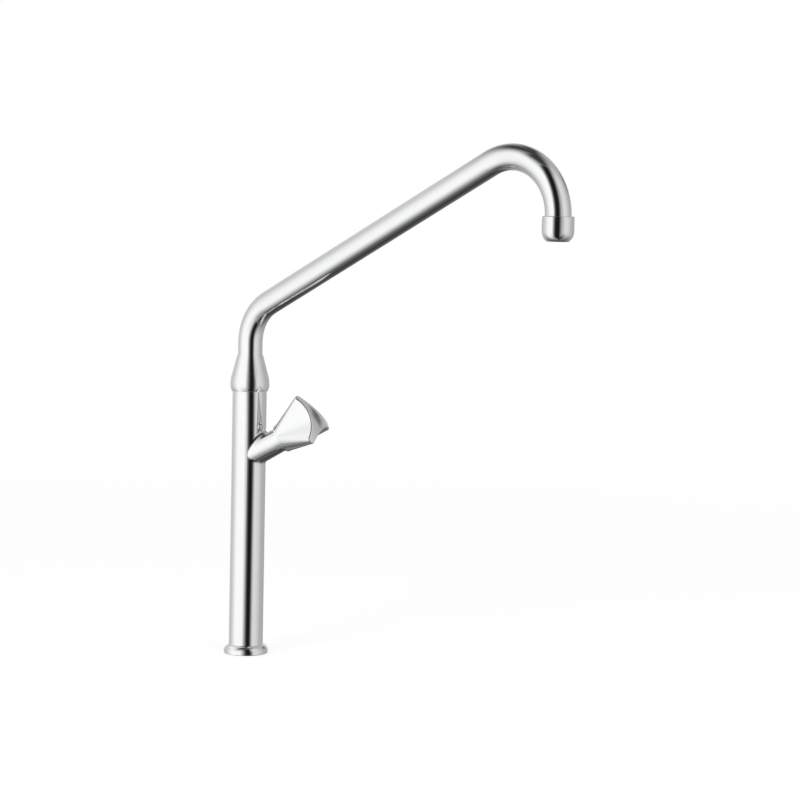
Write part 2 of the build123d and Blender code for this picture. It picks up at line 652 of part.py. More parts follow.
def set_screw_axis(solid):
    """Points a solid drawn about Z out through the middle of the knob's lower side."""
    return Pos(0, 0, SET_SCREW_DISTANCE) * Rot(0, -90, 0) * solid


def knob():
    cavity = rod(KNOB_CAVITY_DIAMETER, KNOB_RIM, KNOB_CAVITY_TOP)
    socket = drive(DRIVE_DIAMETER + 2 * JOINED_GAP, KNOB_CAVITY_TOP, DRIVE_TOP + JOINED_GAP)
    screw_hole = set_screw_axis(rod(SET_SCREW_DIAMETER + 2 * JOINED_GAP, 0, KNOB_CORNER_REACH))
    return on_branch(knob_outside() - cavity - socket - screw_hole, KNOB_REST_TURN)


def knob_set_screw():
    start = DRIVE_DIAMETER / 2 - DRIVE_FLAT_DEPTH
    end = start + SET_SCREW_LENGTH
    body = rod(SET_SCREW_DIAMETER, start, end)
    key = hexagon(SET_SCREW_SOCKET, end - SET_SCREW_SOCKET_DEPTH, end)
    return on_branch(set_screw_axis(body - key), KNOB_REST_TURN)


# Spout and its swivel joint

def nipple_slip_washer():
    outside = NIPPLE_THREAD_DIAMETER - 2 * SLIP_WASHER_INSET
    inside = SPIGOT_DIAMETER + 2 * LOOSE_GAP
    return ring(outside, inside, NIPPLE_TOP, NIPPLE_TOP + SLIP_WASHER_THICKNESS)


def nut_slip_ring():
    inside = TUBE_DIAMETER + 2 * LOOSE_GAP
    return ring(COLLAR_DIAMETER, inside, SLIP_RING_BOTTOM, SLIP_RING_TOP)


def spout_nut():
    """Conical nut that rounds in from its widest place, up to the cone and down to its foot."""
    radius = NUT_DIAMETER / 2
    top = (TUBE_DIAMETER / 2 + LOOSE_GAP + NUT_TOP_WALL, NUT_TOP)
    foot = (radius - NUT_FOOT_NARROWING, NUT_BOTTOM)
    widest = (radius, NUT_BOTTOM + NUT_WIDEST_HEIGHT)
    corner = (radius, NUT_BOTTOM + NUT_CONE_START)
    rounding = (NUT_CONE_START - NUT_WIDEST_HEIGHT) / math.dist(corner, top)
    cone = [low + rounding * (high - low) for low, high in zip(corner, top)]
    body = turned_edges(
        from_upright(widest, foot),
        from_upright(widest, cone),
        straight(cone, top, (0, NUT_TOP), (0, NUT_BOTTOM), foot),
    )
    thread_top = NIPPLE_TOP + SLIP_WASHER_THICKNESS + JOINED_GAP
    thread = rod(NIPPLE_THREAD_DIAMETER + 2 * JOINED_GAP, NUT_BOTTOM, thread_top)
    pocket = rod(COLLAR_DIAMETER + 2 * LOOSE_GAP, thread_top, SLIP_RING_TOP)
    hole = rod(TUBE_DIAMETER + 2 * LOOSE_GAP, SLIP_RING_TOP, NUT_TOP)
    return body - thread - pocket - hole


def spigot_ring_outside():
    return SPIGOT_DIAMETER + 2 * (RUNNING_GAP - O_RING_GAP)


def spout_spigot():
    """Spigot with two ring grooves, and a collar with a socket for the tube."""
    bore = SPIGOT_DIAMETER / 2 - SPIGOT_WALL
    stem = rod(SPIGOT_DIAMETER, SPIGOT_BOTTOM, COLLAR_BOTTOM)
    collar = rod(COLLAR_DIAMETER, COLLAR_BOTTOM, COLLAR_TOP)
    socket = rod(TUBE_DIAMETER + 2 * JOINED_GAP, TUBE_BOTTOM, COLLAR_TOP)
    body = stem + collar - socket - rod(2 * bore, SPIGOT_BOTTOM, COLLAR_TOP)
    for height in SPIGOT_O_RING_HEIGHTS:
        body -= ring_groove(spigot_ring_outside(), SPIGOT_O_RING_SECTION, SPIGOT_BOTTOM + height)
    return body


def spigot_o_ring(height):
    return o_ring(spigot_ring_outside(), SPIGOT_O_RING_SECTION, SPIGOT_BOTTOM + height)


def spout_tube():
    """Upright, elbow, slanted run, gooseneck and a short straight end."""
    path = FilletPolyline(
        (0, 0, TUBE_BOTTOM),
        (0, 0, SPOUT_CORNER_HEIGHT),
        (SPOUT_REACH, 0, GOOSENECK_CORNER),
        (SPOUT_REACH, 0, TUBE_END),
        radius=[ELBOW_RADIUS, GOOSENECK_RADIUS],
    )
    section = Circle(TUBE_DIAMETER / 2) - Circle(TUBE_DIAMETER / 2 - TUBE_WALL)
    return sweep(Pos(0, 0, TUBE_BOTTOM) * section, path)


# Outlet

def at_outlet(solid):
    return Pos(SPOUT_REACH, 0, 0) * solid


def outlet_ferrule():
    """Threaded ring round the tube's end, with a lip that the end stands on."""
    bore = TUBE_DIAMETER - 2 * TUBE_WALL
    outside = ring(FERRULE_DIAMETER, bore, FERRULE_BOTTOM, HOUSING_TOP - RUNNING_GAP)
    socket = rod(TUBE_DIAMETER + 2 * JOINED_GAP, TUBE_END, HOUSING_TOP)
    return at_outlet(outside - socket)


def aerator_housing():
    """Sleeve that rounds in to a narrow mouth."""
    radius = HOUSING_DIAMETER / 2
    mouth = HOUSING_MOUTH_DIAMETER / 2
    bend_top = OUTLET_HEIGHT + HOUSING_ROUNDING_HEIGHT
    edge = min(HOUSING_EDGE_ROUNDING, HOUSING_WALL)
    body = turned_edges(
        from_upright((radius, bend_top), (mouth, OUTLET_HEIGHT)),
        straight((radius, bend_top), (radius, HOUSING_TOP - edge)),
        from_upright((radius, HOUSING_TOP - edge), (radius - edge, HOUSING_TOP)),
        straight(
            (radius - edge, HOUSING_TOP),
            (0, HOUSING_TOP),
            (0, OUTLET_HEIGHT),
            (mouth, OUTLET_HEIGHT),
        ),
    )
    thread = rod(FERRULE_DIAMETER + 2 * JOINED_GAP, FERRULE_BOTTOM, HOUSING_TOP)
    pocket = rod(INSERT_DIAMETER + 2 * JOINED_GAP, INSERT_SEAT, FERRULE_BOTTOM)
    opening = rod(HOUSING_MOUTH_DIAMETER - 2 * HOUSING_LIP_WALL, OUTLET_HEIGHT, INSERT_SEAT)
    return at_outlet(body - thread - pocket - opening)


def aerator_seal():
    return at_outlet(ring(INSERT_DIAMETER, AERATOR_SEAL_OPENING, INSERT_TOP, SEAL_TOP))


def insert_nozzle_diameter():
    return HOUSING_MOUTH_DIAMETER - 2 * HOUSING_LIP_WALL - 2 * JOINED_GAP


def aerator_insert():
    """Plastic cartridge with a flange that the housing's lip carries."""
    nozzle = insert_nozzle_diameter()
    bore = nozzle - 2 * INSERT_WALL
    flange = ring(INSERT_DIAMETER, bore, INSERT_SEAT, INSERT_TOP)
    return at_outlet(flange + ring(nozzle, bore, INSERT_BOTTOM, INSERT_SEAT))


def inlet_strainer():
    """Dished strainer that stands on the insert inside the seal."""
    diameter = AERATOR_SEAL_OPENING - 2 * STRAINER_PLAY
    top = INSERT_TOP + STRAINER_HEIGHT
    shell = ring(diameter, diameter - 2 * STRAINER_WALL, INSERT_TOP, top)
    lid = rod(diameter, top - STRAINER_WALL, top)
    return at_outlet(shell + lid)


def flow_grid():
    """Perforated disc across the insert's mouth."""
    bottom = INSERT_BOTTOM + GRID_SETBACK
    disc_diameter = insert_nozzle_diameter() - 2 * INSERT_WALL - 2 * JOINED_GAP
    disc = rod(disc_diameter, bottom, bottom + GRID_THICKNESS)
    for ring_number in range(GRID_RINGS + 1):
        count = max(1, 6 * ring_number)
        for index in range(count):
            place = polar(ring_number * GRID_PITCH, 360 * index / count, bottom)
            disc -= Pos(place.X, place.Y, 0) * rod(GRID_HOLE_DIAMETER, bottom, bottom + GRID_THICKNESS)
    return at_outlet(disc)


def all_parts():
    """Every piece of the tap by its node name."""
    lower_ring, upper_ring = spindle_o_ring_distances()
    lower_height, upper_height = SPIGOT_O_RING_HEIGHTS
    return {
        "base_flange": base_flange(),
        "base_seal": base_seal(),
        "threaded_shank": threaded_shank(),
        "deck_rubber_washer": deck_rubber_washer(),
        "deck_metal_washer": deck_metal_washer(),
        "lock_nut": lock_nut(),
        "column_body": column_body(),
        "valve_seat": valve_seat(),
        "valve_plug": valve_plug(),
        "valve_washer": valve_washer(),
        "washer_screw": washer_screw(),
        "bonnet_washer": bonnet_washer(),
        "bonnet": bonnet(),
        "spindle": spindle(),
        "spindle_o_ring_lower": spindle_o_ring(lower_ring),
        "spindle_o_ring_upper": spindle_o_ring(upper_ring),
        "spindle_clip": spindle_clip(),
        "knob": knob(),
        "knob_set_screw": knob_set_screw(),
        "nipple_slip_washer": nipple_slip_washer(),
        "nut_slip_ring": nut_slip_ring(),
        "spout_nut": spout_nut(),
        "spout_spigot": spout_spigot(),
        "spigot_o_ring_lower": spigot_o_ring(lower_height),
        "spigot_o_ring_upper": spigot_o_ring(upper_height),
        "spout_tube": spout_tube(),
        "outlet_ferrule": outlet_ferrule(),
        "aerator_housing": aerator_housing(),
        "aerator_seal": aerator_seal(),
        "aerator_insert": aerator_insert(),
        "inlet_strainer": inlet_strainer(),
        "flow_grid": flow_grid(),
    }


os.makedirs("parts", exist_ok=True)
for name, solid in all_parts().items():
    export_step(solid, f"parts/{name}.step")
print("plug lift per radian, m:", round(LIFT / 1000 / (2 * math.pi * KNOB_TURNS), 9))
print("outlet height:", round(OUTLET_HEIGHT, 2))
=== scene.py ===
import math
from collections import namedtuple
import bmesh
import bpy
from mathutils import Matrix, Vector


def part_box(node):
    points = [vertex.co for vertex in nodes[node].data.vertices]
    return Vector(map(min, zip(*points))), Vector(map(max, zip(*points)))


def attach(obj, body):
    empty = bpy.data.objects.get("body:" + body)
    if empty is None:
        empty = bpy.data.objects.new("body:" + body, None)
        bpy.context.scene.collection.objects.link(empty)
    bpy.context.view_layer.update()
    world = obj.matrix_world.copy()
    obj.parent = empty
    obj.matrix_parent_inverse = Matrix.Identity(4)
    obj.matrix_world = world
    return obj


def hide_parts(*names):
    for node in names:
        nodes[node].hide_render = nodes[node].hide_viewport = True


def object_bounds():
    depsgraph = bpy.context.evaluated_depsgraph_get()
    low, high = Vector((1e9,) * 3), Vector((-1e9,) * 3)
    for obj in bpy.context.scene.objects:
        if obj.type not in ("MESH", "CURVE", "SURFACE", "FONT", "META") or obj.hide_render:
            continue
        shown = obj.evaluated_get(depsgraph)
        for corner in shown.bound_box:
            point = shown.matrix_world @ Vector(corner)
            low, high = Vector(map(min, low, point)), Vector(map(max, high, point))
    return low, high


# Looks for the tall one-valve pillar tap: the studio that its chrome mirrors, a material for
# every piece, and the parts whose fine form is drawn here. Metres, in the CAD's own frame.

# The photograph's camera, as seen from the tap, from a fit to the photograph's outline
PHOTO_BEARING = math.radians(-47.21)    # direction of the camera about the column, from +X
CAMERA_DISTANCE = 2.0196                # from the column's axis
CAMERA_HEIGHT = 0.3751                  # above the deck
CAMERA_TURN = math.radians(3.46)        # to the right of the column
CAMERA_DIP = math.radians(4.71)
CAMERA_ROLL = math.radians(1.19)
CAMERA_REACH = 20.0                     # nothing past this is drawn
SENSOR_WIDTH = 36.0
FOCAL_LENGTH = 112.5

# Panels of the studio, at infinity. Bearings are from the camera and elevations from the horizon,
# in degrees. A side fades over so many degrees about its edge, and a later panel covers an earlier.
# The values, and those of the cards below, go back to a program's search for the photograph's
# tones, and were rounded afterwards.
Panel = namedtuple("Panel", "left left_fade right right_fade low low_fade high high_fade brightness")
PANELS = {
    "floor, front": Panel(-50, 30, 120, 80, -95, 1, -40, 10, 0.15),
    "floor, back left": Panel(-190, 1, -70, 30, -95, 1, -50, 10, 0.10),
    "far end, right": Panel(55, 30, 190, 1, -40, 45, 95, 1, 0.45),
    "far end, left": Panel(-190, 1, -70, 20, -35, 70, 95, 1, 0.60),
    "wall, right": Panel(10, 40, 85, 60, -40, 80, 60, 40, 0.75),
    "wall, left": Panel(-95, 60, 25, 10, -60, 55, 45, 50, 1.05),
    "sky, left": Panel(-130, 30, -80, 25, 35, 25, 55, 25, 1.00),
    "foot of the left wall": Panel(-55, 50, 5, 10, -95, 1, -40, 80, 0.25),
    "back corner, low": Panel(155, 60, 190, 1, -95, 1, -10, 40, 0.05),
    "back corner, high": Panel(150, 20, 190, 1, 45, 15, 80, 15, 0.10),
    "back, right": Panel(160, 35, 190, 1, 0, 30, 20, 30, 1.00),
    "back, left": Panel(-190, 1, -150, 20, -15, 20, 20, 20, 1.00),
    "floor, right of the card": Panel(-5, 30, 50, 40, -95, 1, -45, 50, 0.05),
    "gap behind the knob": Panel(120, 15, 140, 5, 15, 10, 30, 10, 0.15),
}
BETWEEN_PANELS = 0.05

# Two dark cards that only the chrome mirrors. Shares of a card run from its left to its right and
# from its foot to its top: it is darkest between each pair and clears towards its edges.
Card = namedtuple("Card", "dark_across dark_upwards brightness")

# One stands between the tap and the camera and makes the long black stripe. Its sides are given as
# (towards the camera, to the picture's right) from the column.
TALL_CARD = Card((0.56, 0.70), (0.15, 0.95), 0.010)
TALL_CARD_LEFT = (0.80, -0.45)
TALL_CARD_RIGHT = (0.47, 0.50)
TALL_CARD_BOTTOM = -0.75
TALL_CARD_TOP = 1.20

# The other hangs over the spout and slopes with it, for the dark line along its top. Its ends are
# given as (along the spout, height).
HIGH_CARD = Card((0.5, 0.5), (0.4, 0.6), 0.04)
HIGH_CARD_FOOT = (0.00, 0.48)
HIGH_CARD_END = (0.45, 0.70)
HIGH_CARD_HALF_WIDTH = 0.20

# Light for what isn't polished. The lamps stand in a row across the camera's direction.
WORLD_LEVEL = 0.55
Lamp = namedtuple("Lamp", "sideways height power")
LAMPS = {
    "lamp_left": Lamp(-1.1, 0.9, 9.0),
    "lamp_right": Lamp(1.2, 0.7, 6.0),
}
LAMP_DISTANCE = 1.4
LAMP_SIZE = 0.9

FLOOR_RADIUS = 1.6
FLOOR_SIDES = 96
FLOOR_FADE_START = 0.35  # share of the radius where the floor starts to merge with the backdrop
FLOOR_COLOUR = 0.42
FLOOR_GLOW = 0.72        # to the camera alone, so that the floor is as white as the backdrop

# Surfaces. A noise has so many cells per metre. Lines are noise with a scale for each axis, and a
# range is a pair of noise values that a patch fades in between.
UPRIGHT_LINES = (30, 30, 5200)      # rings round an upright piece
EVEN_LINES = (900, 900, 900)
LINE_DETAIL = 2.0

CHROME_TONES = ((0.94, 0.943, 0.947), (0.89, 0.896, 0.904))
CHROME_ROUGHNESS = 0.035
HAZE_ROUGHNESS = 0.055              # the most that finger haze adds
HAIRLINE_ROUGHNESS = 0.03           # the most that polishing lines add
HAZE_SCALE = 38.0
HAZE_RANGE = (0.50, 0.78)
RIPPLE_SCALE = 70.0
RIPPLE_DEPTH = 0.00002
SPOT_ROUGHNESS = 0.16               # the most that a dried water spot adds
SPOT_SCALE = 210.0
SPOT_EDGE = (0.24, 0.16)            # of a cell's size from its middle, where a spot fades in
SPOT_RANGE = (0.47, 0.6)
SPOT_HEIGHTS = (0.075, 0.005)       # spots thin out from the second height up to the first

Metal = namedtuple("Metal", "bright dull lines roughness")
METALS = {
    "brass_turned": Metal((0.80, 0.62, 0.33), (0.58, 0.40, 0.20), UPRIGHT_LINES, 0.22),
    "brass_headwork": Metal((0.80, 0.63, 0.35), (0.60, 0.43, 0.22), EVEN_LINES, 0.24),
    "steel_turned": Metal((0.62, 0.62, 0.63), (0.48, 0.48, 0.49), EVEN_LINES, 0.20),
}
TARNISH_SCALE = 120.0
TARNISH_RANGE = (0.35, 0.7)
TARNISH_ROUGHNESS = 0.14
TOOL_MARK_ROUGHNESS = 0.12
TOOL_MARK_DEPTH = 0.00002

RUBBER_TONES = ((0.018, 0.018, 0.019), (0.05, 0.05, 0.052))
BLOOM_SCALE = 160.0
BLOOM_RANGE = (0.45, 0.75)
RUBBER_ROUGHNESS = 0.5
BLOOM_ROUGHNESS = 0.2
RUBBER_GRAIN_SCALE = 2200.0
RUBBER_GRAIN_DEPTH = 0.00004

NYLON_TONES = ((0.80, 0.80, 0.77), (0.70, 0.68, 0.60))
YELLOW_SCALE = 90.0
YELLOW_RANGE = (0.35, 0.75)
NYLON_ROUGHNESS = 0.38
YELLOW_ROUGHNESS = 0.15
NYLON_SCATTER = 0.08
NYLON_SCATTER_REACH = (0.002, 0.002, 0.0015)
NYLON_GRAIN_SCALE = 1500.0
NYLON_GRAIN_DEPTH = 0.00003

FIBRE_TONES = ((0.30, 0.07, 0.045), (0.42, 0.13, 0.08))
FIBRE_STRANDS = (900, 200, 2500)
FIBRE_ROUGHNESS = 0.6
STRAND_ROUGHNESS = 0.2
STRAND_DEPTH = 0.00006

# Thread of the tail, a rounded 55 degree form, and the hollows that the tail's solid has
THREAD_PITCH = 0.001814
THREAD_DEPTH = 0.001162
THREAD_SIDES = 96
THREAD_ROWS = 12         # per pitch
TAIL_BORE_RADIUS = 0.007
RELIEF_BOTTOM = -0.035   # of the groove between the two threads, from the deck
RELIEF_TOP = -0.033
RELIEF_DEPTH = 0.0012
MERGE_WITHIN = 1e-6      # points as close as this are one
COLLAPSE_BELOW = 1e-7    # edges as short as this are removed
SMOOTH_BELOW = math.radians(35)     # edges sharper than this stay sharp

# Screen across the outlet's mouth
SCREEN_CELL = 0.00125    # across the flats of a hexagonal hole
SCREEN_PITCH = 0.00155
SCREEN_RIM = 0.0006
SCREEN_EDGE = 0.00004    # rounding of every edge
SCREEN_SIDES = 96        # of its outline

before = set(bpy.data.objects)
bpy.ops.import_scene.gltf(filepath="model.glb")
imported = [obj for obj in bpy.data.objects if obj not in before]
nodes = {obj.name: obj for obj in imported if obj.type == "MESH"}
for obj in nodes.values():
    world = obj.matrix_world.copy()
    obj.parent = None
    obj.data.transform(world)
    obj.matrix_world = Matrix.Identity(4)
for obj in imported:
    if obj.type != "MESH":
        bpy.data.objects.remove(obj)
cad_low, cad_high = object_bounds()


# Node trees

def feed(tree, socket, value):
    """Links another socket, or sets anything else as the socket's value."""
    if isinstance(value, bpy.types.NodeSocket):
        tree.links.new(value, socket)
    else:
        socket.default_value = value


def add_node(tree, kind, **inputs):
    """A node with some of its inputs fed by name."""
    node = tree.nodes.new(kind)
    for name, value in inputs.items():
        feed(tree, node.inputs[name.replace("_", " ")], value)
    return node


def math_node(tree, operation, *values):
    node = tree.nodes.new("ShaderNodeMath")
    node.operation = operation
    for socket, value in zip(node.inputs, values):
        feed(tree, socket, value)
    return node.outputs[0]


def grown(tree, start, share, most):
    """start, and up to most on top of it where share is 1."""
    return math_node(tree, "MULTIPLY_ADD", share, most, start)


def ramp_up(tree, value, start, end):
    """0 below start, 1 above end, and smooth between them. The other way where start is above end."""
    node = add_node(tree, "ShaderNodeMapRange", Value=value, From_Min=start, From_Max=end)
    node.interpolation_type = "SMOOTHSTEP"
    return node.outputs["Result"]


def within(tree, value, low, low_fade, high, high_fade):
    """1 between low and high, fading to 0 about each of them."""
    rise = ramp_up(tree, value, low - low_fade / 2, low + low_fade / 2)
    fall = ramp_up(tree, value, high + high_fade / 2, high - high_fade / 2)
    return math_node(tree, "MULTIPLY", rise, fall)


def mix_values(tree, share, first, second):
    """A mix of two numbers. The node's sockets for them are 2 and 3."""
    node = tree.nodes.new("ShaderNodeMix")
    for socket, value in zip(node.inputs[:1] + node.inputs[2:4], (share, first, second)):
        feed(tree, socket, value)
    return node.outputs[0]


def mix_colours(tree, share, tones):
    """A mix of two colours. The node's sockets for them are 6 and 7."""
    node = tree.nodes.new("ShaderNodeMix")
    node.data_type = "RGBA"
    feed(tree, node.inputs["Factor"], share)
    for socket, tone in zip(node.inputs[6:8], tones):
        socket.default_value = (*tone, 1)
    return node.outputs[2]


def cleared_tree(owner):
    """The tree of a new material or world, without the nodes that it comes with."""
    owner.use_nodes = True
    owner.node_tree.nodes.clear()
    return owner.node_tree


def set_surface(tree, output_kind, shader):
    output = tree.nodes.new(output_kind)
    tree.links.new(shader.outputs[0], output.inputs["Surface"])


def blend_surface(tree, share, first, second):
    """A surface of the first shader where share is 0 and of the second where it is 1."""
    blend = add_node(tree, "ShaderNodeMixShader", Fac=share)
    tree.links.new(first.outputs[0], blend.inputs[1])
    tree.links.new(second.outputs[0], blend.inputs[2])
    set_surface(tree, "ShaderNodeOutputMaterial", blend)


# Studio

def mirrored_directions(tree):
    """Bearing from the photograph's camera and elevation, in degrees, of each direction."""
    direction = tree.nodes.new("ShaderNodeTexCoord").outputs["Generated"]
    turned = add_node(tree, "ShaderNodeVectorRotate", Vector=direction, Angle=-PHOTO_BEARING)
    turned.rotation_type = "Z_AXIS"
    parts = add_node(tree, "ShaderNodeSeparateXYZ", Vector=turned.outputs[0]).outputs
    bearing = math_node(tree, "ARCTAN2", parts["Y"], parts["X"])
    elevation = math_node(tree, "ARCSINE", parts["Z"])
    return math_node(tree, "DEGREES", bearing), math_node(tree, "DEGREES", elevation)


def studio_brightness(tree):
    """What polished metal mirrors: the panels, and a dim level where there is none."""
    bearing, elevation = mirrored_directions(tree)
    level = BETWEEN_PANELS
    for panel in PANELS.values():
        across = within(tree, bearing, panel.left, panel.left_fade, panel.right, panel.right_fade)
        upright = within(tree, elevation, panel.low, panel.low_fade, panel.high, panel.high_fade)
        level = mix_values(tree, math_node(tree, "MULTIPLY", across, upright), level, panel.brightness)
    return level


def make_world():
    """White to the camera, the studio's panels to polished metal, and an even level to the rest."""
    world = bpy.data.worlds.new("studio")
    tree = cleared_tree(world)
    path = tree.nodes.new("ShaderNodeLightPath").outputs
    level = mix_values(tree, path["Is Glossy Ray"], WORLD_LEVEL, studio_brightness(tree))
    level = mix_values(tree, path["Is Camera Ray"], level, 1.0)
    background = add_node(tree, "ShaderNodeBackground", Color=(1, 1, 1, 1), Strength=level)
    set_surface(tree, "ShaderNodeOutputWorld", background)
    bpy.context.scene.world = world


def beside_camera(ahead, sideways, height):
    """A point given from the column: towards the camera, to the picture's right, and up."""
    turn = Matrix.Rotation(PHOTO_BEARING, 3, "Z")
    return turn @ Vector((ahead, sideways, height))


def new_object(name, data):
    obj = bpy.data.objects.new(name, data)
    bpy.context.scene.collection.objects.link(obj)
    return obj


def card_material(name, card):
    """The card's brightness where it is dark, and clear towards its edges."""
    material = bpy.data.materials.new(name)
    tree = cleared_tree(material)
    texture = tree.nodes.new("ShaderNodeTexCoord").outputs["UV"]
    place = add_node(tree, "ShaderNodeSeparateXYZ", Vector=texture)
    dark = 1.0
    for share, (first, last) in zip(place.outputs, (card.dark_across, card.dark_upwards)):
        dark = math_node(tree, "MULTIPLY", dark, ramp_up(tree, share, 0, first))
        dark = math_node(tree, "MULTIPLY", dark, ramp_up(tree, share, 1, last))
    glow = add_node(tree, "ShaderNodeEmission", Strength=card.brightness)
    clear = tree.nodes.new("ShaderNodeBsdfTransparent")
    blend_surface(tree, dark, clear, glow)
    return material


def make_card(name, card, corners):
    """A card on four corners: foot left, foot right, top right and top left."""
    mesh = bpy.data.meshes.new(name)
    mesh.from_pydata(corners, [], [(0, 1, 2, 3)])
    layer = mesh.uv_layers.new()
    for corner, place in zip(layer.data, ((0, 0), (1, 0), (1, 1), (0, 1))):
        corner.uv = place
    mesh.materials.append(card_material(name, card))
    obj = new_object(name, mesh)
    obj.visible_camera = False
    obj.visible_diffuse = False
    obj.visible_shadow = False


def make_cards():
    tall = [beside_camera(*TALL_CARD_LEFT, TALL_CARD_BOTTOM),
            beside_camera(*TALL_CARD_RIGHT, TALL_CARD_BOTTOM),
            beside_camera(*TALL_CARD_RIGHT, TALL_CARD_TOP),
            beside_camera(*TALL_CARD_LEFT, TALL_CARD_TOP)]
    make_card("tall_card", TALL_CARD, tall)
    (foot, foot_height), (end, end_height) = HIGH_CARD_FOOT, HIGH_CARD_END
    high = [Vector((foot, HIGH_CARD_HALF_WIDTH, foot_height)),
            Vector((foot, -HIGH_CARD_HALF_WIDTH, foot_height)),
            Vector((end, -HIGH_CARD_HALF_WIDTH, end_height)),
            Vector((end, HIGH_CARD_HALF_WIDTH, end_height))]
    make_card("high_card", HIGH_CARD, high)


def floor_material():
    """Pale, white to the camera, and clear towards the floor's edge and from below."""
    material = bpy.data.materials.new("floor_white")
    tree = cleared_tree(material)
    place = tree.nodes.new("ShaderNodeTexCoord").outputs["Object"]
    distance = add_node(tree, "ShaderNodeVectorMath", Vector=place)
    distance.operation = "LENGTH"
    edge = ramp_up(tree, distance.outputs["Value"], FLOOR_FADE_START * FLOOR_RADIUS, FLOOR_RADIUS)
    below = tree.nodes.new("ShaderNodeNewGeometry").outputs["Backfacing"]
    matt = add_node(tree, "ShaderNodeBsdfDiffuse", Color=(FLOOR_COLOUR, FLOOR_COLOUR, FLOOR_COLOUR, 1))
    seen = tree.nodes.new("ShaderNodeLightPath").outputs["Is Camera Ray"]
    glow = add_node(tree, "ShaderNodeEmission", Strength=math_node(tree, "MULTIPLY", seen, FLOOR_GLOW))
    both = tree.nodes.new("ShaderNodeAddShader")
    tree.links.new(matt.outputs[0], both.inputs[0])
    tree.links.new(glow.outputs[0], both.inputs[1])
    clear = tree.nodes.new("ShaderNodeBsdfTransparent")
    blend_surface(tree, math_node(tree, "MAXIMUM", edge, below), both, clear)
    return material


def make_floor():
    """Round floor that keeps the tap's soft shadow and that the chrome doesn't mirror."""
    mesh = bpy.data.meshes.new("floor")
    shape = bmesh.new()
    bmesh.ops.create_circle(shape, cap_ends=True, segments=FLOOR_SIDES, radius=FLOOR_RADIUS)
    shape.to_mesh(mesh)
    shape.free()
    mesh.materials.append(floor_material())
    floor = new_object("floor", mesh)
    floor.visible_glossy = False


def make_lamps():
    """Soft square lamps, aimed at the middle of the tap, that the chrome doesn't mirror."""
    for name, lamp in LAMPS.items():
        data = bpy.data.lights.new(name, "AREA")
        data.shape = "SQUARE"
        data.size = LAMP_SIZE
        data.energy = lamp.power
        obj = new_object(name, data)
        obj.location = beside_camera(LAMP_DISTANCE, lamp.sideways, lamp.height)
        aim = Vector((0, 0, (cad_low.z + cad_high.z) / 2)) - obj.location
        obj.rotation_euler = aim.to_track_quat("-Z", "Y").to_euler()
        obj.visible_glossy = False


def make_camera():
    data = bpy.data.cameras.new("photo_camera")
    data.sensor_width = SENSOR_WIDTH
    data.lens = FOCAL_LENGTH
    data.clip_end = CAMERA_REACH
    camera = new_object("photo_camera", data)
    heading = PHOTO_BEARING + math.pi - CAMERA_TURN
    aim = Matrix.Rotation(heading - math.pi / 2, 4, "Z") @ Matrix.Rotation(math.pi / 2 - CAMERA_DIP, 4, "X")
    place = Matrix.Translation(beside_camera(CAMERA_DISTANCE, 0, CAMERA_HEIGHT))
    camera.matrix_world = place @ aim @ Matrix.Rotation(CAMERA_ROLL, 4, "Z")
    bpy.context.scene.camera = camera


# Materials

def new_material(name):
    """A material with its tree, its shader and the object's own coordinates."""
    material = bpy.data.materials.new(name)
    material.use_nodes = True
    tree = material.node_tree
    shader = tree.nodes["Principled BSDF"]
    place = tree.nodes.new("ShaderNodeTexCoord").outputs["Object"]
    return material, tree, shader, place


def noise(tree, place, scale, detail=3.0, roughness=0.5):
    node = add_node(tree, "ShaderNodeTexNoise", Vector=place, Scale=scale, Detail=detail, Roughness=roughness)
    return node.outputs["Fac"]


def drawn_out_noise(tree, place, scales, detail=LINE_DETAIL, roughness=0.5):
    """Noise with a scale of its own along each axis."""
    stretched = add_node(tree, "ShaderNodeMapping", Vector=place, Scale=scales).outputs["Vector"]
    return noise(tree, stretched, 1.0, detail, roughness)


def bump(tree, shader, height, depth):
    node = add_node(tree, "ShaderNodeBump", Height=height, Distance=depth)
    feed(tree, shader.inputs["Normal"], node.outputs["Normal"])


def dried_spots(tree, place, cloud):
    """Share of a dried water spot: round, in patches, and fewer higher above the deck."""
    cells = add_node(tree, "ShaderNodeTexVoronoi", Vector=place, Scale=SPOT_SCALE)
    round_spots = ramp_up(tree, cells.outputs["Distance"], *SPOT_EDGE)
    height = add_node(tree, "ShaderNodeSeparateXYZ", Vector=place).outputs["Z"]
    in_patches = math_node(tree, "MULTIPLY", round_spots, ramp_up(tree, cloud, *SPOT_RANGE))
    return math_node(tree, "MULTIPLY", in_patches, ramp_up(tree, height, *SPOT_HEIGHTS))


def chrome(name, lines, spotted=False):
    """Polished chrome with faint polishing lines, finger haze and, near the deck, dried spots."""
    material, tree, shader, place = new_material(name)
    shader.inputs["Metallic"].default_value = 1.0
    cloud = noise(tree, place, HAZE_SCALE, detail=4.0, roughness=0.6)
    rough = grown(tree, CHROME_ROUGHNESS, ramp_up(tree, cloud, *HAZE_RANGE), HAZE_ROUGHNESS)
    rough = grown(tree, rough, drawn_out_noise(tree, place, lines), HAIRLINE_ROUGHNESS)
    if spotted:
        rough = grown(tree, rough, dried_spots(tree, place, cloud), SPOT_ROUGHNESS)
    feed(tree, shader.inputs["Roughness"], rough)
    feed(tree, shader.inputs["Base Color"], mix_colours(tree, cloud, CHROME_TONES))
    bump(tree, shader, noise(tree, place, RIPPLE_SCALE, detail=1.0), RIPPLE_DEPTH)
    return material


